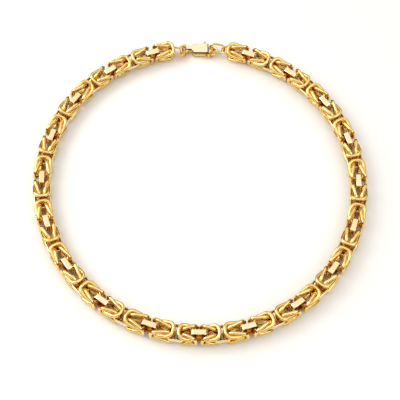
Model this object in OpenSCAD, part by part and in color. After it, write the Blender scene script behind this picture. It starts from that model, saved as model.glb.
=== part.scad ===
// A byzantine neck chain with its clasp, laid flat in a closed loop.
// Millimetres, +Z up. The origin is under the middle of the loop, on the surface that it lies on.
// The clasp is at the far side, +Y, and the chain runs clockwise from the clasp's right end.

/* [Weave] */
// Distance from one flat link to the next along the chain, with the knot of four rings between them
pitch = 12.6; // [12.5:0.05:12.8]
// Width and height of the whole chain over a knot
chain_w = 8.64; // [8.6:0.01:8.66]
// Knots of four rings in the chain
knot_count = 38; // [36:2:40]
// Distance from the front flat link to the next on each side, over the two short knots
short_pitch = 10.2; // [10.1:0.05:10.4]

/* [Knot rings] */
// Diameter of a knot ring's round wire
wire_d = 1.65; // [1.5:0.01:1.66]
// Clear space between the spread ends of one knot's rings and the next knot's
end_gap = 1.25; // [1.2:0.01:1.3]
// Outer width of a knot ring
ring_w = 8.62; // [8.56:0.01:8.64]
// Outer length of a ring in the two short knots
short_ring_len = 9.15; // [9.1:0.01:9.2]
// Outer width of a ring in the two short knots
short_ring_w = 8.4; // [8.35:0.01:8.45]
// Corner radius at a ring's spread end, at the middle of its wire
spread_corner = 2.7; // [2.4:0.1:2.8]
// Clear space between the hooked ends of a pair of rings
pair_gap = 0.16; // [0.14:0.01:0.18]

/* [Flat links] */
// Outer length of a flat link, along the chain
link_len = 8.12; // [8.1:0.01:8.16]
// Outer width of a flat link, across the chain
link_w = 7.9; // [7.6:0.05:8]
// Width of the strip that a flat link is bent from
strip_w = 2.6; // [2.4:0.05:2.65]
// Thickness of the strip
strip_t = 0.78; // [0.74:0.01:0.8]
// Outer corner radius of a flat link
link_corner = 1.8; // [1.3:0.1:2]
// Bevel on the strip's four edges
strip_bevel = 0.32; // [0.3:0.01:0.35]
// Clear space between a flat link and the rings hooked in it
hook_gap = 0.42; // [0.41:0.01:0.44]

/* [Loop] */
// Share by which the loop is deeper than it is wide
loop_oval = 0.0252; // [0:0.0002:0.04]
// Share by which the loop leans to one side
loop_lean = 0.008; // [0:0.001:0.02]
// Share by which the loop is three-cornered
loop_three = 0.0027; // [0:0.0001:0.01]
// How far the whole chain is rolled inwards about its own length, in degrees
roll_all = 7.5; // [4:0.5:10]
// How much further it is rolled at the far side, and less at the front
roll_far = 9; // [6:0.5:10]
// How much further it is rolled at the far side and the front than at the two sides
roll_ends = 1.5; // [0:0.5:3]
// Length of the clasp and its rings, between the chain's two end knots
clasp_run = 27.2; // [27.2:0.1:28]

/* [Clasp] */
// Length of the clasp's flat body without its tail
body_len = 9.4; // [9:0.1:10]
// Width of the clasp's body
body_w = 6.8; // [6.4:0.1:7.2]
// Height of the clasp's body
body_h = 4.6; // [4.4:0.1:5]
// Thickness of the hook
hook_h = 1.6; // [1.5:0.1:1.7]
// Thickness of the lever
lever_h = 1.8; // [1.6:0.1:1.9]
// Diameter of the lever's pin
pin_d = 1.1; // [1:0.05:1.2]
// Radial clearance of the lever on its pin
pin_fit = 0.05; // [0.03:0.01:0.08]
// How far the lever's thumb piece stands out of the body
thumb_out = 1.75; // [1.6:0.05:1.8]

/* [Clasp rings] */
// Outer diameter of the two round rings beside the clasp
round_d = 6.6; // [6.5:0.05:6.6]
// Wire diameter of the clasp's rings
jump_wire = 1; // [0.9:0.05:1]

/* [Hidden] */
$fn = 32;
gold = "#e2bd62";
pale_gold = "#f2dfa0";

// Centre of the first connector place, measured clockwise along the loop from its far side
chain_start = 14;
// Half of what the lever's thumb piece stands out past the chain
thumb_past = 0.785;

// Knot geometry: a pair of rings is hooked side by side at one end and spread wide at the other
hook_off = (wire_d + pair_gap) / 2;
spread_off = (chain_w - wire_d) / 2;
ring_mid_off = (spread_off + hook_off) / 2;
// Distance from a flat link's centre to the wires hooked in it
hook_at = link_len / 2 - strip_t - hook_gap - wire_d / 2;
// From the middle of a ring's hooked end to the middle of its spread end, along the chain and along the ring
ring_run = pitch - end_gap / 2 - wire_d / 2 - hook_at;
ring_reach = norm([ring_run, spread_off - hook_off]);
short_reach = short_ring_len - wire_d;
// Half the spread of a pair of rings where their spread ends begin to curve in
shoulder_off = spread_off - spread_corner * (spread_off - hook_off) / ring_run;
// Height of the chain's middle over the surface, where it is rolled by r
function axis_z(r) = wire_d / 2 + spread_off * cos(r) + shoulder_off * sin(r);

// The loop in plan: its radius, as a share of the mean radius, at angle a
function loop_share(a) = 1 - loop_oval * cos(2 * a) - loop_lean * sin(2 * a) + loop_three * sin(3 * a);
loop_len = (knot_count - 2) * pitch + 2 * short_pitch + clasp_run;
loop_steps = 720;
function loop_unit(i) = let (a = 90 - i * 360 / loop_steps) loop_share(a) * [cos(a), sin(a)];
unit_points = [for (i = [0:loop_steps]) loop_unit(i)];
unit_steps = [for (i = [0:loop_steps - 1]) norm(unit_points[i + 1] - unit_points[i])];
function running_sum(list) =
    [for (i = 0, s = 0; i <= len(list); s = s + (i < len(list) ? list[i] : 0), i = i + 1) s];
unit_run = running_sum(unit_steps);
loop_r = loop_len / unit_run[loop_steps];
turn_at = [for (i = [0:loop_steps]) [unit_run[i] * loop_r, i * 360 / loop_steps]];
function loop_angle(s) = 90 - lookup(s < 0 ? s + loop_len : s, turn_at);
function loop_point(s) = let (a = loop_angle(s)) loop_r * loop_share(a) * [cos(a), sin(a)];
// The loop's middle, so that the origin is under the middle of the whole box
loop_xs = [for (p = unit_points) p[0] * loop_r];
loop_ys = [for (p = unit_points) p[1] * loop_r];
loop_mid = [(max(loop_xs) + min(loop_xs)) / 2, (max(loop_ys) + min(loop_ys)) / 2 + thumb_past];

function loop_roll(s) =
    let (a = loop_angle(s)) roll_all + roll_far * sin(a) - roll_ends * cos(2 * a);

// Places a child over distance s along the loop, its X axis along the chain and its Y axis outwards
module over_loop(s) {
    before = loop_point(s - 0.5);
    after = loop_point(s + 0.5);
    p = loop_point(s);
    translate([p[0] - loop_mid[0], p[1] - loop_mid[1], 0])
        rotate([0, 0, atan2(after[1] - before[1], after[0] - before[0])])
            children();
}

// The same at the height of the chain's middle and rolled with the chain
module on_loop(s) {
    over_loop(s)
        translate([0, 0, axis_z(loop_roll(s))])
            rotate([loop_roll(s), 0, 0])
                children();
}

// A closed ring of round wire in the XY plane. Its end at -X is a half circle, the one at +X squarer.
// reach is its length and width its width, at the middle of the wire.
module knot_ring(reach, width) {
    a = reach / 2;
    b = width / 2;
    c = spread_corner;
    rail = 2 * a - b - c;
    translate([b - a, 0, 0])
        rotate([0, 0, 90]) wire_bend(b, 180);
    translate([b - a, -b, 0])
        rotate([0, 90, 0]) cylinder(d = wire_d, h = rail);
    translate([a - c, c - b, 0])
        rotate([0, 0, -90]) wire_bend(c, 90);
    translate([a, b - c, 0])
        rotate([90, 0, 0]) cylinder(d = wire_d, h = 2 * (b - c));
    translate([a - c, b - c, 0])
        wire_bend(c, 90);
    translate([b - a, b, 0])
        rotate([0, 90, 0]) cylinder(d = wire_d, h = rail);
}

// Round wire bent to a radius, through an angle from +X
module wire_bend(radius, angle) {
    rotate_extrude(angle = angle)
        translate([radius, 0]) circle(d = wire_d);
}

// Cross-section of the flat strip, with bevelled edges: x is the thickness, y the width
module strip_section() {
    t = strip_t / 2;
    w = strip_w / 2;
    e = strip_bevel;
    polygon([
        [-t + e, -w], [t - e, -w], [t, -w + e], [t, w - e],
        [t - e, w], [-t + e, w], [-t, w - e], [-t, -w + e]
    ]);
}

// A closed link of flat strip, bent round an axis along Z
module strip_link() {
    a = (link_len - strip_t) / 2;
    b = (link_w - strip_t) / 2;
    r = link_corner - strip_t / 2;
    for (q = [0:3])
        translate([(q == 0 || q == 3 ? 1 : -1) * (a - r), (q < 2 ? 1 : -1) * (b - r), 0])
            rotate([0, 0, 90 * q])
                rotate_extrude(angle = 90)
                    translate([r, 0]) strip_section();
    for (side = [-1, 1]) {
        translate([-(a - r), side * b, 0])
            rotate([90, 0, 90]) linear_extrude(2 * (a - r)) strip_section();
        translate([side * a, b - r, 0])
            rotate([90, 0, 0]) linear_extrude(2 * (b - r)) strip_section();
    }
}

// One knot of four rings between an upright flat link at -X and a level one at +X.
// run is the distance between those two links; reach and width are those of its rings.
module knot(run, reach, width) {
    tilt = asin((spread_off - hook_off) / reach);
    middle = run / 2 - hook_at - reach * cos(tilt) / 2;
    for (side = [-1, 1]) {
        translate([-middle, 0, side * ring_mid_off])
            rotate([0, -side * tilt, 0]) knot_ring(reach, width);
        translate([middle, side * ring_mid_off, 0])
            rotate([90, 0, 180 - side * tilt]) knot_ring(reach, width);
    }
}

// The two knots beside the upright link at the front are short
front_knot = knot_count / 2;
function is_short(k) = k == front_knot - 1 || k == front_knot;
knot_ends = running_sum([for (k = [0:knot_count - 1]) is_short(k) ? short_pitch : pitch]);
function link_s(i) = chain_start + knot_ends[i];

// The knots from one number to another, counted clockwise from the clasp
module knots(first, last) {
    color(gold)
        for (k = [first:last])
            on_loop((link_s(k) + link_s(k + 1)) / 2)
                mirror([k % 2 == 0 ? 1 : 0, 0, 0])
                    if (is_short(k))
                        knot(short_pitch, short_reach, short_ring_w - wire_d);
                    else
                        knot(pitch, ring_reach, ring_w - wire_d);
}

module right_knot_rings() {
    knots(0, front_knot - 1);
}

module left_knot_rings() {
    knots(front_knot, knot_count - 1);
}

module flat_links() {
    color(pale_gold)
        for (i = [1:knot_count - 1])
            on_loop(link_s(i))
                rotate([i % 2 == 1 ? 90 : 0, 0, 0]) strip_link();
}

// The clasp's own frame: X to the right, Y outwards, Z up from the surface, near the loop's far point
clasp_x = -1;
module at_clasp() {
    translate([clasp_x - loop_mid[0], loop_point(0)[1] - loop_mid[1], 0])
        children();
}

// Plan of the body, inset by e: a plate with a curved shoulder on each side of its tail
body_x1 = 5.5;
body_y0 = -2.55;
body_y1 = body_y0 + body_w;
shoulder_x = body_x1 - body_len;
tail_x = -5.65;
tail_y0 = 0;
tail_y1 = 1.9;
function ease(t) = t * t * (3 - 2 * t);
far_shoulder = [for (i = [0:12]) [shoulder_x + i * 0.11, tail_y1 + (body_y1 - tail_y1) * ease(i / 12)]];
near_shoulder = [for (i = [12:-1:0])
    [shoulder_x + 0.1 + i * 0.18, tail_y0 + (body_y0 - tail_y0) * ease(i / 12)]];
module body_plan(e = 0) {
    ys = (body_w - 2 * e) / body_w;
    ym = (body_y0 + body_y1) / 2;
    points = concat([[tail_x, tail_y1 - e]], far_shoulder, [[body_x1 - e, body_y1], [body_x1 - e, body_y0]],
        near_shoulder, [[tail_x, tail_y0 + e]]);
    polygon([for (p = points) [p[0], ym + (p[1] - ym) * ys]]);
}

// Heights of the pocket that the lever turns in
pocket_z0 = 1.4;
pocket_z1 = pocket_z0 + lever_h + 0.2;
pivot = [1.2, 3.1];

// The body's middle layer, open on the far side for the lever and its swing
module pocket_plan() {
    polygon([[-0.8, 1.6], [1.2, 1.3], [body_x1 + 1, -0.3], [body_x1 + 1, 6], [-0.8, 6]]);
}

// The fixed hook: a front arm, a round end and a nose that comes back to meet the lever
hook_x = 7.6;
nose_x = 6.95;
function arc_points(x, y, a, b) = [for (i = [-18:18]) [x + a * cos(i * 5), y + b * sin(i * 5)]];
module hook_plan() {
    difference() {
        polygon(concat([[body_x1 - 0.6, -2.2]], arc_points(hook_x, 0.85, 2.85, 3.05),
            [[nose_x, 3.9], [nose_x, 2.6], [body_x1 - 0.6, 2.6]]));
        polygon(concat([[body_x1 - 1, -1.05]], arc_points(hook_x, 0.8, 1.75, 1.85), [[body_x1 - 1, 2.65]]));
    }
}

// A closed oval ring of round wire in the XY plane
module oval_ring(length, width, wire) {
    b = (width - wire) / 2;
    run = length - width;
    for (side = [-1, 1]) {
        translate([side * run / 2, 0, 0])
            rotate([0, 0, side * -90])
                rotate_extrude(angle = 180)
                    translate([b, 0]) circle(d = wire);
        if (run > 0)
            translate([-run / 2, side * b, 0])
                rotate([0, 90, 0]) cylinder(d = wire, h = run);
    }
}

module clasp_body() {
    color(gold)
        at_clasp() {
            difference() {
                union() {
                    linear_extrude(body_h - 0.75) body_plan();
                    translate([0, 0, body_h - 0.8])
                        linear_extrude(0.8) body_plan(0.3);
                }
                translate([0, 0, pocket_z0])
                    linear_extrude(pocket_z1 - pocket_z0) pocket_plan();
                translate([pivot[0], pivot[1], -1])
                    cylinder(d = pin_d + 0.02, h = 5);
            }
            translate([0, 0, pocket_z0 + 0.1])
                linear_extrude(hook_h) hook_plan();
            translate([-7.4, 1.6, 3.1])
                oval_ring(5.6, 5.6, 1.1);
        }
}

module clasp_lever() {
    color(pale_gold)
        at_clasp()
            translate([0, 0, pocket_z0 + 0.1]) {
                linear_extrude(lever_h)
                    difference() {
                        union() {
                            translate(pivot) circle(r = 1.3);
                            polygon([
                                [pivot[0], 2.3], [2.8, 2.55], [6.8, 2.55], [6.8, 3.85], [4.4, 3.85],
                                [4.1, body_y1 + thumb_out], [2.8, body_y1 + thumb_out],
                                [2.65, 4.1], [pivot[0], 4.35]
                            ]);
                        }
                        translate(pivot) circle(d = pin_d + 2 * pin_fit);
                    }
                translate([2.8, body_y1 + thumb_out - 0.9, 0])
                    cube([1.3, 0.9, lever_h + 0.9]);
            }
}

module lever_pin() {
    color(gold)
        at_clasp()
            translate([pivot[0], pivot[1], 0.05])
                cylinder(d = pin_d, h = 3.9);
}

// Turns a ring's axis from Z to the direction n
module face_to(n) {
    rotate([0, acos(n[2] / norm(n)), atan2(n[1], n[0])]) children();
}

module left_round_ring() {
    color(pale_gold)
        at_clasp()
            translate([-7.8, -0.5, 3.2])
                face_to([0.875, -0.312, 0.371]) oval_ring(round_d - 0.3, round_d - 0.3, jump_wire + 0.1);
}

module right_round_ring() {
    color(pale_gold)
        at_clasp()
            translate([7, -1.3, round_d / 2 + 0.02])
                face_to([cos(29), -sin(29), 0]) oval_ring(round_d, round_d, jump_wire);
}

module left_end_ring() {
    color(gold)
        at_clasp()
            translate([-12, -1.31, 4.3])
                rotate([0, 0, -11]) oval_ring(10.75, 6.05, jump_wire);
}

module right_end_ring() {
    color(gold)
        at_clasp()
            translate([16.15, -1.96, 5.65])
                rotate([0, 0, -12]) oval_ring(7.65, 6.2, jump_wire);
}

module right_jump_ring() {
    color(gold)
        at_clasp()
            translate([10.3, -0.62, 5.75])
                rotate([0, 0, -12])
                    rotate([56, 0, 0]) oval_ring(8.75, 5.6, jump_wire);
}

right_knot_rings();
left_knot_rings();
flat_links();
clasp_body();
clasp_lever();
lever_pin();
left_round_ring();
right_round_ring();
left_end_ring();
right_end_ring();
right_jump_ring();
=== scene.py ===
import math
import bpy
import numpy as np
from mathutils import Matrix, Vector


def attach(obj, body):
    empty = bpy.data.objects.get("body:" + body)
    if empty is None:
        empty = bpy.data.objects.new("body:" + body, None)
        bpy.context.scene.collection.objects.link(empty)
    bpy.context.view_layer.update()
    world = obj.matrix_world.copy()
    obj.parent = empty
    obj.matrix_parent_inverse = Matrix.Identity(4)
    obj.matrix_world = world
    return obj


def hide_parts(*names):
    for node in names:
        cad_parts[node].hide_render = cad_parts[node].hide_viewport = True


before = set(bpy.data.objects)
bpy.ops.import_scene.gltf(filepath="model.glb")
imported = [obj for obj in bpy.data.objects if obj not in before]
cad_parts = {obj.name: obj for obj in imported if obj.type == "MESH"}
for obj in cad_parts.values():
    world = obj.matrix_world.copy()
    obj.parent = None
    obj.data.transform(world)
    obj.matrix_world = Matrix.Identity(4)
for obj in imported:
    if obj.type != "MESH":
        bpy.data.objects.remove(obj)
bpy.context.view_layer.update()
print("loaded", len(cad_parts), "solids of the neck chain")

# shader sockets as numbers


class Sock:
    # one output of a node; sums and products on it add Math nodes
    def __init__(self, desk, socket):
        self.desk = desk
        self.socket = socket

    def __add__(self, other):
        return self.desk.math("ADD", self, other)

    def __radd__(self, other):
        return self.desk.math("ADD", other, self)

    def __mul__(self, other):
        return self.desk.math("MULTIPLY", self, other)

    def __rmul__(self, other):
        return self.desk.math("MULTIPLY", other, self)


class Desk:
    # a node tree, the shader that it feeds and the one method that adds a node
    def __init__(self, tree, shader):
        self.tree = tree
        self.shader = tree.nodes[shader]

    def node(self, kind, settings=None, sockets=None, out=0):
        # a ramp takes its stops as (place, colour) pairs and how it blends between them
        made = self.tree.nodes.new("ShaderNode" + kind)
        for key, value in (settings or {}).items():
            if key == "blend":
                made.color_ramp.interpolation = value
            elif key == "stops":
                for element, (place, colour) in zip(made.color_ramp.elements, value):
                    element.position = place
                    element.color = colour
            else:
                setattr(made, key, value)
        for key, value in (sockets or {}).items():
            self.feed(made.inputs[key], value)
        return Sock(self, made.outputs[out])

    def feed(self, target, value):
        if isinstance(value, Sock):
            self.tree.links.new(value.socket, target)
        else:
            target.default_value = value

    def math(self, operation, first, second):
        return self.node("Math", {"operation": operation}, {0: first, 1: second})

    def noise(self, place, scale, detail, roughness=0.5):
        values = {"Vector": place, "Scale": scale, "Detail": detail, "Roughness": roughness}
        return self.node("TexNoise", {}, values, out="Fac")

    def mix(self, share, first, second):
        values = {"Factor": share, "A": first, "B": second}
        return self.node("Mix", {"data_type": "RGBA"}, values, out=2)

    def finish(self, values):
        for key, value in values.items():
            self.feed(self.shader.inputs[key], value)


def paint(name):
    # a new material and the desk with its nodes
    material = bpy.data.materials.new(name)
    material.use_nodes = True
    return material, Desk(material.node_tree, "Principled BSDF")


# gold

goldLook = {
    # a piece's tone is random on the chain's links; on the clasp's pieces it is set as a painted light from
    # above
    "toneShare": 0.6,  # how much of a piece's colour is its own tone, the rest being noise
    "waveScale": 320.0, "grainScale": 2600.0, "grainShare": 0.06,
    "scuffScale": 900.0, "scuffFrom": 0.56, "scuffTo": 0.72,
    "hollowRough": 0.12, "scuffRough": 0.06, "waveRough": 0.03,
    "bumpStrength": 0.18, "bumpDepth": 0.00025,
}
# painted shade: a dark red-brown standing in for the shade and the gold-on-gold reflections deep in the
# weave
paintedCreviceShade = (0.60, 0.21, 0.008, 1)
ringFinishAndShade = {
    "light": (0.96, 0.75, 0.35, 1), "deep": (0.92, 0.62, 0.16, 1), "paintedShade": paintedCreviceShade,
    "polish": 0.06, "wave": 0.5,
}
# the flat links' light and deep colours are a paler copy of the rings' gold, a painted sheen for their flat
# faces
flatFinishSheenAndShade = {
    "light": (0.98, 0.87, 0.56, 1), "deep": (0.94, 0.76, 0.40, 1), "paintedShade": paintedCreviceShade,
    "polish": 0.08, "wave": 0.35,
}
# the clasp's light colour is a paler copy of the gold, a painted sheen for its raised face, and its dark
# colour is a painted shadow for the groove round that face
claspFinishSheenAndShade = {
    "light": (0.99, 0.90, 0.66, 1), "deep": (0.93, 0.66, 0.22, 1), "paintedShade": (0.10, 0.035, 0.006, 1),
    "polish": 0.10, "wave": 0.25,
}


def goldMaterial(name, finish):
    # base colour goes from light to deep by slow noise and by each piece's tone, random on the chain's
    # links and fixed elsewhere, and to the painted shade colour by how deep the surface lies in the weave
    # or in a groove, a painted shade and gold-on-gold reflection; roughness rises there and in faint
    # scuffs; the bump is a slow hammer wave plus fine polishing grain
    look = goldLook
    material, desk = paint(name)
    place = desk.node("TexCoord", out="Object")
    slow = desk.noise(place, look["waveScale"], 2.0)
    grain = desk.noise(place, look["grainScale"], 3.0)
    scuff = desk.noise(place, look["scuffScale"], 4.0, 0.7)
    tone = desk.node("Attribute", {"attribute_name": "tone"}, out="Fac")
    # inner is the share of painted shade at each point
    inner = desk.node("Attribute", {"attribute_name": "inner"}, out="Fac")
    share = desk.node("Clamp", {}, {"Value": tone * look["toneShare"] + slow * (1 - look["toneShare"])})
    colour = desk.mix(share, finish["light"], finish["deep"])
    # painted shade: the colour goes towards the dark red-brown where inner is high
    colour = desk.mix(inner, colour, finish["paintedShade"])
    marks = desk.node("MapRange", {"interpolation_type": "SMOOTHSTEP"},
                      {"Value": scuff, "From Min": look["scuffFrom"], "From Max": look["scuffTo"]})
    rough = finish["polish"] + inner * look["hollowRough"]
    rough = rough + marks * look["scuffRough"] + slow * look["waveRough"]
    height = slow * finish["wave"] + grain * (finish["wave"] * look["grainShare"])
    bump = desk.node("Bump", {}, {"Height": height, "Strength": look["bumpStrength"],
                                  "Distance": look["bumpDepth"]}, out="Normal")
    desk.finish({"Base Color": colour, "Metallic": 1.0, "Roughness": rough, "Normal": bump})
    return material


ringGold = goldMaterial("ringGold", ringFinishAndShade)
flatGold = goldMaterial("flatGold", flatFinishSheenAndShade)
claspGold = goldMaterial("claspGold", claspFinishSheenAndShade)
print("made the gold materials")

# mesh helpers

mm = 0.001


def rotate(points, axis, degrees):
    # turns points about one axis through the origin
    angle = math.radians(degrees)
    i, j = {"x": (1, 2), "y": (2, 0), "z": (0, 1)}[axis]
    moved = points.copy()
    moved[..., i] = points[..., i] * math.cos(angle) - points[..., j] * math.sin(angle)
    moved[..., j] = points[..., i] * math.sin(angle) + points[..., j] * math.cos(angle)
    return moved


def ease(t):
    # a smooth step from 0 to 1: 3t^2 - 2t^3
    return t * t * (3 - 2 * t)


def closedGrid(n, m):
    # quads of a grid that closes both ways
    i, j = np.meshgrid(np.arange(n), np.arange(m), indexing="ij")
    nextI = (i + 1) % n
    nextJ = (j + 1) % m
    return np.stack([i * m + j, nextI * m + j, nextI * m + nextJ, i * m + nextJ], -1).reshape(-1, 4)


def sweep(path, out, section):
    # carries a section along a closed path in the XY plane: point = path + out * s0 + Z * s1
    up = np.array([0.0, 0.0, 1.0])
    points = path[:, None] + out[:, None] * section[None, :, :1] + up * section[None, :, 1:]
    return points.reshape(-1, 3)


def stretches(lengths, s):
    # for a path of several stretches: which of them each distance falls in, and how far into it
    starts = np.cumsum([0, *lengths[:-1]])
    k = np.searchsorted(starts, s, side="right") - 1
    return k, s - starts[k]


def wireSection(diameter, around):
    # a round wire's section
    t = 2 * np.pi * np.arange(around) / around
    return np.stack([np.cos(t), np.sin(t)], -1) * diameter / 2


def outwards(points, quads):
    # turns the quads round if the closed surface's signed volume is negative
    a, b, c, d = (points[quads[:, k]] for k in range(4))
    volume = (a * np.cross(b, c)).sum() + (a * np.cross(c, d)).sum()
    return quads if volume > 0 else quads[:, ::-1]


def sweptPart(points, quads, tone, inner):
    # a smooth closed surface for piece(), with its quads facing out
    return points, [(outwards(points - points.mean(0), quads), False)], tone, inner


def pointValues(parts, column):
    # one number for each point of the parts, from a single number or an array in each part
    return np.concatenate([np.broadcast_to(part[column], len(part[0])) for part in parts])


def piece(name, parts, material, node, body="chain"):
    # one mesh object from parts, each of them (points in mm, blocks of faces, tone, inner), where a
    # block is (an array with a row of point numbers for each face, whether it is shaded flat)
    verts = np.concatenate([part[0] for part in parts]) * mm
    starts = np.cumsum([0] + [len(part[0]) for part in parts[:-1]])
    loops, totals, flats = [], [], []
    for part, start in zip(parts, starts):
        for block, flat in part[1]:
            loops.append((block + start).ravel())
            totals.append(np.full(len(block), block.shape[1]))
            flats.append(np.full(len(block), flat))
    loops, totals, flats = map(np.concatenate, (loops, totals, flats))
    loopStarts = np.concatenate([[0], np.cumsum(totals)[:-1]])
    mesh = bpy.data.meshes.new(name)
    mesh.vertices.add(len(verts))
    mesh.vertices.foreach_set("co", verts.astype(np.float32).ravel())
    mesh.loops.add(len(loops))
    mesh.loops.foreach_set("vertex_index", loops.astype(np.int32))
    mesh.polygons.add(len(totals))
    mesh.polygons.foreach_set("loop_start", loopStarts.astype(np.int32))
    mesh.polygons.foreach_set("use_smooth", ~flats.astype(bool))
    mesh.update(calc_edges=True)
    mesh.validate()
    # tone is each piece's tone; inner is its share of painted shade
    for key, column in (("tone", 2), ("inner", 3)):
        values = pointValues(parts, column).astype(np.float32)
        mesh.attributes.new(key, "FLOAT", "POINT").data.foreach_set("value", values)
    mesh.materials.append(material)
    made = bpy.data.objects.new(name, mesh)
    bpy.context.scene.collection.objects.link(made)
    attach(made, body)
    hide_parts(node)
    print("made", name, len(totals), "faces")


# the loop that the chain lies on, in mm and degrees

chain = {
    "pitch": 12.6, "shortPitch": 10.2, "knots": 38, "width": 8.64,
    "oval": 0.0252, "lean": 0.008, "three": 0.0027,
    "rollAll": 7.5, "rollFar": 9.0, "rollEnds": 1.5,
    "claspRun": 27.2, "start": 14.0, "thumbPast": 0.785,
}
knotRing = {
    "wire": 1.65, "fullness": 0.11, "endGap": 1.25, "width": 8.62, "shortLength": 9.15, "shortWidth": 8.4,
    "spreadCorner": 2.7, "pairGap": 0.16, "darkTo": 1.9, "lightFrom": 3.7, "stations": 60, "around": 14,
}
flatLink = {
    "length": 8.12, "width": 7.9, "stripWidth": 2.6, "stripThick": 0.78, "corner": 1.8,
    "edge": 0.32, "hookGap": 0.42, "crown": 0.05, "darkTo": 1.6, "lightFrom": 3.0,
}

loopTurn = np.radians(np.linspace(0, 360, 721))


def loopShare(a):
    # the loop's radius over its mean radius: an oval, a lean and a slight three-cornered swell
    share = 1 - chain["oval"] * np.cos(2 * a) - chain["lean"] * np.sin(2 * a)
    return share + chain["three"] * np.sin(3 * a)


loopLength = (chain["knots"] - 2) * chain["pitch"] + 2 * chain["shortPitch"] + chain["claspRun"]
unitAngle = np.pi / 2 - loopTurn
unitLoop = loopShare(unitAngle)[:, None] * np.stack([np.cos(unitAngle), np.sin(unitAngle)], -1)
unitRun = np.concatenate([[0], np.cumsum(np.linalg.norm(np.diff(unitLoop, axis=0), axis=1))])
loopRadius = loopLength / unitRun[-1]
loopMid = (unitLoop.max(0) + unitLoop.min(0)) / 2 * loopRadius + [0, chain["thumbPast"]]


def loopAngle(s):
    # the angle about the loop's middle at distance s from the clasp, going clockwise seen from above
    return np.pi / 2 - np.interp(s % loopLength, unitRun * loopRadius, loopTurn)


def loopPoint(s):
    # the point of the loop's line at distance s from the clasp
    a = loopAngle(s)
    return loopRadius * loopShare(a) * np.array([math.cos(a), math.sin(a)])


# how far a ring's hooked end and its spread end stand from the chain's middle line, where in a flat
# link it hooks, and how long its middle line is
hookOff = (knotRing["wire"] + knotRing["pairGap"]) / 2
spreadOff = (chain["width"] - knotRing["wire"]) / 2
ringMidOff = (spreadOff + hookOff) / 2
hookAt = flatLink["length"] / 2 - flatLink["stripThick"] - flatLink["hookGap"] - knotRing["wire"] / 2
ringRun = chain["pitch"] - knotRing["endGap"] / 2 - knotRing["wire"] / 2 - hookAt
ringReach = math.hypot(ringRun, spreadOff - hookOff)
shortReach = knotRing["shortLength"] - knotRing["wire"]
shoulderOff = spreadOff - knotRing["spreadCorner"] * (spreadOff - hookOff) / ringRun


def onLoop(points, s):
    # rolls points about the chain's length, lifts them to its axis and sets them at distance s
    a = loopAngle(s)
    roll = chain["rollAll"] + chain["rollFar"] * math.sin(a) - chain["rollEnds"] * math.cos(2 * a)
    tipped = math.radians(roll)
    lift = knotRing["wire"] / 2 + spreadOff * math.cos(tipped) + shoulderOff * math.sin(tipped)
    along = loopPoint(s + 0.5) - loopPoint(s - 0.5)
    placed = rotate(points, "x", roll) + [0, 0, lift]
    placed = rotate(placed, "z", math.degrees(math.atan2(along[1], along[0])))
    return placed + [*(loopPoint(s) - loopMid), 0]


def paintedShadeShare(local, darkTo, lightFrom):
    # the share of painted shade: 1 near the chain's middle line, 0 out at its surface, with a smooth step
    # between
    away = np.hypot(local[..., 1], local[..., 2])
    return ease(np.clip((lightFrom - away) / (lightFrom - darkTo), 0, 1))


half = chain["knots"] // 2
shortKnots = (half - 1, half)
knotRuns = [chain["shortPitch"] if k in shortKnots else chain["pitch"] for k in range(chain["knots"])]
linkAt = chain["start"] + np.concatenate([[0], np.cumsum(knotRuns)])
toneSeed = np.random.default_rng(7)

# knot rings


def ringPath(reach, width, corner, stations):
    # the wire's middle line: a half circle at -X, straight rails, and two corner arcs at +X,
    # sampled at equal steps of its length; returns points and their outward directions in the plane
    a, b = reach / 2, width / 2
    arc, quarter = math.pi * b, corner * math.pi / 2
    rail, end = 2 * a - b - corner, 2 * (b - corner)
    lengths = [arc, rail, quarter, end, quarter, rail]
    s = (np.arange(stations) + 0.5) / stations * sum(lengths)
    k, t = stretches(lengths, s)
    none = 0 * t
    cornerX, cornerY = none + a - corner, none + b - corner
    angle = np.choose(k, [np.pi / 2 + t / b, 3 * np.pi / 2 + none, t / corner - np.pi / 2,
                          none, t / corner, np.pi / 2 + none])
    centreX = np.choose(k, [none + b - a, b - a + t, cornerX, cornerX, cornerX, cornerX - t])
    centreY = np.choose(k, [none, none, -cornerY, t - cornerY, cornerY, none])
    radius = np.choose(k, [b, b, corner, corner, corner, b])
    out = np.column_stack([np.cos(angle), np.sin(angle), none])
    return np.column_stack([centreX, centreY, none]) + out * radius[:, None], out


def knotRingPoints(reach, width):
    # a knot ring lying in the XY plane: round wire carried along its middle line
    path, out = ringPath(reach, width, knotRing["spreadCorner"], knotRing["stations"])
    return sweep(path, out, wireSection(knotRing["wire"] + knotRing["fullness"], knotRing["around"]))


ringQuads = closedGrid(knotRing["stations"], knotRing["around"])


def knotParts(first, last):
    # each knot is two level rings that spread up and down at one end, and two upright rings that
    # spread sideways at the other; every second knot is the mirror image of the one before
    parts = []
    for k in range(first, last + 1):
        reach = shortReach if k in shortKnots else ringReach
        width = (knotRing["shortWidth"] if k in shortKnots else knotRing["width"]) - knotRing["wire"]
        tilt = math.degrees(math.asin((spreadOff - hookOff) / reach))
        middle = knotRuns[k] / 2 - hookAt - reach * math.cos(math.radians(tilt)) / 2
        ring = knotRingPoints(reach, width)
        for side in (-1, 1):
            level = rotate(ring, "y", -side * tilt) + [-middle, 0, side * ringMidOff]
            upright = rotate(rotate(ring, "x", 90), "z", 180 - side * tilt) + [middle, side * ringMidOff, 0]
            for local in (level, upright):
                if k % 2 == 0:
                    local = local * [-1, 1, 1]
                points = onLoop(local, (linkAt[k] + linkAt[k + 1]) / 2)
                inner = paintedShadeShare(local, knotRing["darkTo"], knotRing["lightFrom"])
                parts.append(sweptPart(points, ringQuads, toneSeed.random(), inner))
    return parts


piece("rightKnotRings", knotParts(0, half - 1), ringGold, "right_knot_rings")
piece("leftKnotRings", knotParts(half, chain["knots"] - 1), ringGold, "left_knot_rings")

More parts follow.
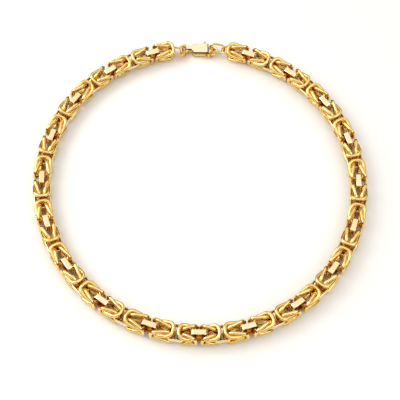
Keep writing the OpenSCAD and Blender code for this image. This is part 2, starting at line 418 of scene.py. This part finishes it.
# flat links


def stripPath(length, width, corner, thick, steps=7):
    # the strip's middle line: a rectangle with its corners rounded about Z
    a, b, r = (length - thick) / 2, (width - thick) / 2, corner - thick / 2
    t = np.concatenate([np.linspace(0, np.pi / 2, steps) + q * np.pi / 2 for q in range(4)])
    out = np.stack([np.cos(t), np.sin(t), 0 * t], -1)
    centreX = np.repeat([1, -1, -1, 1], steps) * (a - r)
    centreY = np.repeat([1, 1, -1, -1], steps) * (b - r)
    return np.stack([centreX, centreY, 0 * t], -1) + out * r, out


def stripSection():
    # the strip's section: a rectangle with rounded edges, and a slight crown of crown * (1 - (y/w)^2)
    # on its two faces
    t, w, edge = flatLink["stripThick"] / 2, flatLink["stripWidth"] / 2, flatLink["edge"]
    points = []
    for q, (sx, sy) in enumerate(((1, 1), (-1, 1), (-1, -1), (1, -1))):
        a = np.linspace(0, np.pi / 2, 4) + q * np.pi / 2
        corner = np.array([sx * (t - edge), sy * (w - edge)])
        points.append(corner + edge * np.stack([np.cos(a), np.sin(a)], -1))
        if sx * sy < 0:
            y = np.linspace(sy, -sy, 7)[1:-1] * (w - edge)
            points.append(np.stack([sx * (t + flatLink["crown"] * (1 - (y / w) ** 2)), y], -1))
    return np.concatenate(points)


def flatParts():
    # the same bent strip at every link, upright at the odd ones
    path, out = stripPath(flatLink["length"], flatLink["width"], flatLink["corner"], flatLink["stripThick"])
    section = stripSection()
    link = sweep(path, out, section)
    quads = closedGrid(len(path), len(section))
    # painted shade: the strip's whole inner face takes the full share
    inside = np.tile(section[:, 0] < 0, len(path))  # the strip's inner face lies in the dark of the weave
    parts = []
    for i in range(1, chain["knots"]):
        local = rotate(link, "x", 90 if i % 2 == 1 else 0)
        inner = np.maximum(paintedShadeShare(local, flatLink["darkTo"], flatLink["lightFrom"]), inside)
        parts.append(sweptPart(onLoop(local, linkAt[i]), quads, toneSeed.random(), inner))
    return parts


piece("flatLinks", flatParts(), flatGold, "flat_links")

# clasp, in mm from the middle of the clasp's gap; +X is the hook's side and +Y the thumb piece's

clasp = {
    "shiftX": -1.0, "length": 9.4, "width": 6.8, "height": 4.6, "x1": 5.5, "y0": -2.55,
    "tailX": -5.65, "tailY0": 0.0, "tailY1": 1.9, "farStep": 0.11, "nearStart": 0.1, "nearStep": 0.18,
    "baseRim": 0.22, "faceHigh": 0.75, "faceSunk": 0.05, "faceRim": 0.22, "ledge": 0.42, "ledgeRim": 0.08,
    "pocketLow": 1.4, "pocketWall": ((-0.8, 1.6), (1.2, 1.3)), "layerGap": 0.1, "overlap": 0.001,
    "tailRing": 5.6, "tailWire": 1.1, "tailRingAt": (-7.4, 1.6, 3.1),
}
claspHook = {
    "thick": 1.6, "rim": 0.38,
    "x": 7.6, "outer": (2.85, 3.05), "outerY": 0.85, "inner": (1.75, 1.85), "innerY": 0.8,
    "noseX": 6.95, "noseY": (3.9, 2.65), "rootX": 4.9, "rootY": (-2.2, -1.05),
}
claspLever = {
    "thick": 1.8, "rim": 0.2, "pivot": (1.2, 3.1), "eye": 1.3,
    "gateX": 6.8, "gateY": (2.55, 3.85), "neckX": (2.8, 4.1), "neckFootX": 4.4, "neckInner": (2.65, 4.1),
    "thumbOut": 1.75, "thumbHigh": 2.7, "thumbDeep": 0.9, "thumbRim": 0.16,
}
leverPin = {"diameter": 1.1, "low": 0.05, "high": 3.95, "rim": 0.12}
claspAt = np.array([clasp["shiftX"] - loopMid[0], loopPoint(0.0)[1] - loopMid[1], 0.0])
clasp["y1"] = clasp["y0"] + clasp["width"]
clasp["pocketHigh"] = clasp["pocketLow"] + claspLever["thick"] + 2 * clasp["layerGap"]


def shoulder(startX, step, tailY, bodyY):
    # one side of the plate's change of width: a smooth step from the tail's edge to the body's
    i = np.arange(13)
    return np.stack([startX + i * step, tailY + (bodyY - tailY) * ease(i / 12)], -1)


def shoulders():
    # the far side run towards the hook, and the near side run back
    startX = clasp["x1"] - clasp["length"]
    far = shoulder(startX, clasp["farStep"], clasp["tailY1"], clasp["y1"])
    near = shoulder(startX + clasp["nearStart"], clasp["nearStep"], clasp["tailY0"], clasp["y0"])
    return far, near[::-1]


def plateOutline(inset=0.0):
    # the plate seen from above, drawn in by inset: its ends are moved and its width is scaled
    far, near = shoulders()
    endX = clasp["x1"] - inset
    outline = np.vstack([[clasp["tailX"], clasp["tailY1"] - inset], far, [endX, clasp["y1"]],
                         [endX, clasp["y0"]], near, [clasp["tailX"], clasp["tailY0"] + inset]])
    middle = (clasp["y0"] + clasp["y1"]) / 2
    outline[:, 1] = middle + (outline[:, 1] - middle) * (clasp["width"] - 2 * inset) / clasp["width"]
    return outline


def anticlockwise(outline):
    # the outline turned round if its signed area is negative
    x, y = outline[:, 0], outline[:, 1]
    area = (x * np.roll(y, -1) - y * np.roll(x, -1)).sum()
    return outline if area > 0 else outline[::-1]


def edgeNormals(steps):
    # unit normals to the right of each step
    return np.stack([steps[:, 1], -steps[:, 0]], -1) / np.linalg.norm(steps, axis=1)[:, None]


def slab(outline, z0, z1, edge, steps=4, roundLow=True, roundHigh=True):
    # a flat plate with rounded rims: each level of the rim is the outline moved in along its normals,
    # by edge*(1 - sin t) at a height of edge*(1 - cos t) from the face, and each face is closed with one
    # polygon; sharpest keeps a sharp corner from moving too far
    outline = anticlockwise(outline)
    n0 = edgeNormals(outline - np.roll(outline, 1, 0))
    n1 = edgeNormals(np.roll(outline, -1, 0) - outline)
    sharpest = 0.35
    normal = (n0 + n1) / np.maximum(1 + (n0 * n1).sum(1), sharpest)[:, None]
    t = np.linspace(0, np.pi / 2, steps)
    inward, height = edge * (1 - np.sin(t)), edge * (1 - np.cos(t))
    low = list(zip(inward, z0 + height)) if roundLow else [(0, z0)]
    high = list(zip(height, z1 - inward)) if roundHigh else [(0, z1)]
    levels = low + high
    n = len(outline)
    rows = [np.column_stack([outline - normal * inset, np.full(n, z)]) for inset, z in levels]
    i, j = np.meshgrid(np.arange(len(levels) - 1), np.arange(n), indexing="ij")
    a, b = i * n + j, i * n + (j + 1) % n
    side = np.stack([a, b, b + n, a + n], -1).reshape(-1, 4)
    bottom = np.arange(n)[::-1][None]
    top = (len(levels) - 1) * n + np.arange(n)[None]
    return np.concatenate(rows), [(side, False), (bottom, True), (top, True)]


def slabPart(outline, z0, z1, edge, tone, **rims):
    # a plate of the clasp, set where the clasp lies
    points, faces = slab(outline, z0, z1, edge, **rims)
    return points + claspAt, faces, tone, 0.0


def withPaintedShade(part, inner):
    # the part again with its share of painted shade worked out from its points' heights
    return (*part[:3], np.clip(inner(part[0][:, 2]), 0, 1))


def ovalRing(length, width, wire, around=14, stations=48):
    # a closed ring of round wire: two half circles joined by straight rails, in the XY plane
    b, rail = (width - wire) / 2, length - width
    lengths = [math.pi * b, rail, math.pi * b, rail]
    k, t = stretches(lengths, np.arange(stations) / stations * sum(lengths))
    none = 0 * t
    angle = np.choose(k, [t / b - np.pi / 2, np.pi / 2 + none, np.pi / 2 + t / b, 3 * np.pi / 2 + none])
    x = np.choose(k, [rail / 2 + none, rail / 2 - t, none - rail / 2, t - rail / 2])
    out = np.column_stack([np.cos(angle), np.sin(angle), none])
    points = sweep(np.column_stack([x, none, none]) + out * b, out, wireSection(wire, around))
    return points, closedGrid(stations, around)


def hookOutline():
    # the hook seen from above: half an ellipse outside, a smaller one inside, the nose and the root
    h = claspHook
    arc = np.radians(np.arange(-90, 91, 5))
    outer = np.stack([h["x"] + h["outer"][0] * np.cos(arc), h["outerY"] + h["outer"][1] * np.sin(arc)], -1)
    inner = np.stack([h["x"] + h["inner"][0] * np.cos(arc), h["innerY"] + h["inner"][1] * np.sin(arc)], -1)
    return np.vstack([[h["rootX"], h["rootY"][0]], outer, [h["noseX"], h["noseY"][0]],
                      [h["noseX"], h["noseY"][1]], inner[::-1], [h["rootX"], h["rootY"][1]]])


def claspBodyParts():
    # the base plate, the core beside the lever's pocket, the ledge, the raised face, the hook and the
    # tail ring, each sunk a little into the next as in one soldered body
    c = clasp
    plate = plateOutline()
    far, near = shoulders()
    core = np.vstack([[c["tailX"], c["tailY1"]], far, [c["pocketWall"][0][0], c["y1"]], c["pocketWall"],
                      [c["x1"], 0.0], [c["x1"], c["y0"]], near, [c["tailX"], c["tailY0"]]])
    step = c["height"] - c["faceHigh"]
    low, high = c["pocketLow"], c["pocketHigh"]
    hookLow = low + c["layerGap"]
    tail, tailQuads = ovalRing(c["tailRing"], c["tailRing"], c["tailWire"])
    # the ledge's rounded rim and top face take painted shade, rising to full at the step, and the raised
    # face's side wall below its rim takes it in full: a painted shadow round the raised face
    ledge = slabPart(plate, high, step, c["ledgeRim"], 1.0, roundLow=False)
    raisedFace = slabPart(plateOutline(c["ledge"]), step - c["faceSunk"], c["height"], c["faceRim"], 0.0,
                          steps=5, roundLow=False)
    # fixed tones: the raised face takes the pale colour, the lower plates, hook and tail ring the deep one,
    # a painted light from above
    return [
        slabPart(plate, 0.0, low, c["baseRim"], 1.0, roundHigh=False),
        slabPart(core, low - c["overlap"], high + c["overlap"], 0.0, 1.0, steps=1),
        withPaintedShade(ledge, lambda z: ease(np.clip(1 - (step - z) / c["ledgeRim"], 0, 1))),
        withPaintedShade(raisedFace, lambda z: (c["height"] - z) / c["faceRim"]),
        slabPart(hookOutline(), hookLow, hookLow + claspHook["thick"], claspHook["rim"], 0.9, steps=5),
        sweptPart(tail + c["tailRingAt"] + claspAt, tailQuads, 0.9, 0.0),
    ]


def leverParts():
    # a round eye at the pivot, the gate towards the hook, and the neck out to the thumb piece
    lever = claspLever
    px, py = lever["pivot"]
    arc = np.radians(np.arange(100, 271, 12))
    eye = np.stack([px + lever["eye"] * np.cos(arc), py + lever["eye"] * np.sin(arc)], -1)
    gateX = lever["gateX"]
    gate0, gate1 = lever["gateY"]
    neck0, neck1 = lever["neckX"]
    thumb = clasp["y1"] + lever["thumbOut"]
    outline = np.vstack([eye, [[neck0, gate0], [gateX, gate0], [gateX, gate1], [lever["neckFootX"], gate1],
                               [neck1, thumb], [neck0, thumb], lever["neckInner"]]])
    knobY = thumb - lever["thumbDeep"]
    knob = np.array([[neck0, knobY], [neck1, knobY], [neck1, thumb], [neck0, thumb]])
    low = clasp["pocketLow"] + clasp["layerGap"]
    # fixed tones: the thumb piece paler than the lever, a painted light on the higher part
    return [slabPart(outline, low, low + lever["thick"], lever["rim"], 0.6),
            slabPart(knob, low, low + lever["thumbHigh"], lever["thumbRim"], 0.2)]


def pinParts():
    # a short round rod with rounded rims
    a = np.radians(np.arange(0, 360, 15))
    outline = claspLever["pivot"] + np.stack([np.cos(a), np.sin(a)], -1) * leverPin["diameter"] / 2
    return [slabPart(outline, leverPin["low"], leverPin["high"], leverPin["rim"], 0.5)]


piece("claspPlates", claspBodyParts(), claspGold, "clasp_body")
piece("claspGate", leverParts(), claspGold, "clasp_lever", "lever")
piece("gatePin", pinParts(), claspGold, "lever_pin")

# rings beside the clasp: outer length and width, wire, turns about the axes in order, and middle

# these rings take a fixed tone and a constant quarter share of the painted shade colour all over, a painted
# shade
ringToneAndShade = {"tone": 0.8, "inner": 0.25}
claspRings = {
    "leftRoundRing": {"node": "left_round_ring", "size": (6.34, 6.34), "wire": 1.16,
                      "turns": (("y", 68.2297), ("z", -19.6248)), "at": (-7.8, -0.5, 3.2)},
    "rightRoundRing": {"node": "right_round_ring", "size": (6.6, 6.6), "wire": 1.08,
                       "turns": (("y", 90), ("z", -29)), "at": (7, -1.3, 3.32)},
    "leftEndRing": {"node": "left_end_ring", "size": (10.77, 6.07), "wire": 1.04,
                    "turns": (("z", -11),), "at": (-12, -1.31, 4.3)},
    "rightEndRing": {"node": "right_end_ring", "size": (7.7, 6.25), "wire": 1.1,
                     "turns": (("z", -12),), "at": (16.15, -1.96, 5.65)},
    "rightJumpRing": {"node": "right_jump_ring", "size": (8.8, 5.65), "wire": 1.1,
                      "turns": (("x", 56), ("z", -12)), "at": (10.3, -0.62, 5.75)},
}
for name, ring in claspRings.items():
    points, quads = ovalRing(*ring["size"], ring["wire"])
    for axis, degrees in ring["turns"]:
        points = rotate(points, axis, degrees)
    part = sweptPart(points + ring["at"] + claspAt, quads, ringToneAndShade["tone"], ringToneAndShade["inner"])
    piece(name, [part], ringGold, ring["node"])

# floor, light and camera

stage = {
    "floorReach": 40.0, "floor": (0.95, 0.93, 0.89, 1), "floorRough": 0.6,
    "dustRough": 0.1, "dustScale": 40.0,
    "sky": ((0.40, (0.08, 0.032, 0.005, 1)), (0.54, (1.05, 1.05, 1.05, 1))), "skyPower": 1.0,
}
lamps = {
    "key": {"place": (-0.48, 0.10, 0.45), "size": 0.5, "power": 2.2},
    "fill": {"place": (0.4, -0.3, 0.5), "size": 0.4, "power": 0.5},
}
camera = {
    "elevation": 59.87, "distance": 0.450, "lens": 83.3, "sensor": 36.0, "lookY": -0.0125, "lookZ": 0.0042,
}

# the floor is plain and pale: one base colour, and a roughness that slow noise changes a little
floorPaint, desk = paint("paleFloor")
dust = desk.noise(desk.node("TexCoord", out="Object"), stage["dustScale"], 2.0)
desk.finish({"Base Color": stage["floor"], "Roughness": dust * stage["dustRough"] + stage["floorRough"]})
reach = stage["floorReach"]
floorMesh = bpy.data.meshes.new("floor")
floorMesh.from_pydata([(-reach, -reach, 0), (reach, -reach, 0), (reach, reach, 0), (-reach, reach, 0)],
                      [], [(0, 1, 2, 3)])
floorMesh.materials.append(floorPaint)
floor = bpy.data.objects.new("floor", floorMesh)
bpy.context.scene.collection.objects.link(floor)

# the studio's sky: dim near the floor and bright overhead, read from the height of the direction
world = bpy.data.worlds.new("studio")
bpy.context.scene.world = world
world.use_nodes = True
desk = Desk(world.node_tree, "Background")
skyHeight = desk.node("SeparateXYZ", {}, {"Vector": desk.node("TexCoord", out="Generated")}, out="Z")
skyColour = desk.node("ValToRGB", {"blend": "EASE", "stops": stage["sky"]}, {"Fac": skyHeight})
desk.finish({"Color": skyColour, "Strength": stage["skyPower"]})

for name, lamp in lamps.items():
    light = bpy.data.lights.new(name, "AREA")
    light.energy = lamp["power"]
    light.size = lamp["size"]
    made = bpy.data.objects.new(name, light)
    made.location = lamp["place"]
    made.rotation_euler = (-Vector(lamp["place"])).to_track_quat("-Z", "Y").to_euler()
    bpy.context.scene.collection.objects.link(made)

tip = math.radians(camera["elevation"])
view = bpy.data.cameras.new("photoView")
view.sensor_width = camera["sensor"]
view.lens = camera["lens"]
viewer = bpy.data.objects.new("photoView", view)
viewer.location = (0, camera["lookY"] - math.cos(tip) * camera["distance"],
                   camera["lookZ"] + math.sin(tip) * camera["distance"])
viewer.rotation_euler = (math.pi / 2 - tip, 0, 0)
bpy.context.scene.collection.objects.link(viewer)
bpy.context.scene.camera = viewer
bpy.context.scene.view_settings.view_transform = "Standard"
print("set the floor, lights and camera")
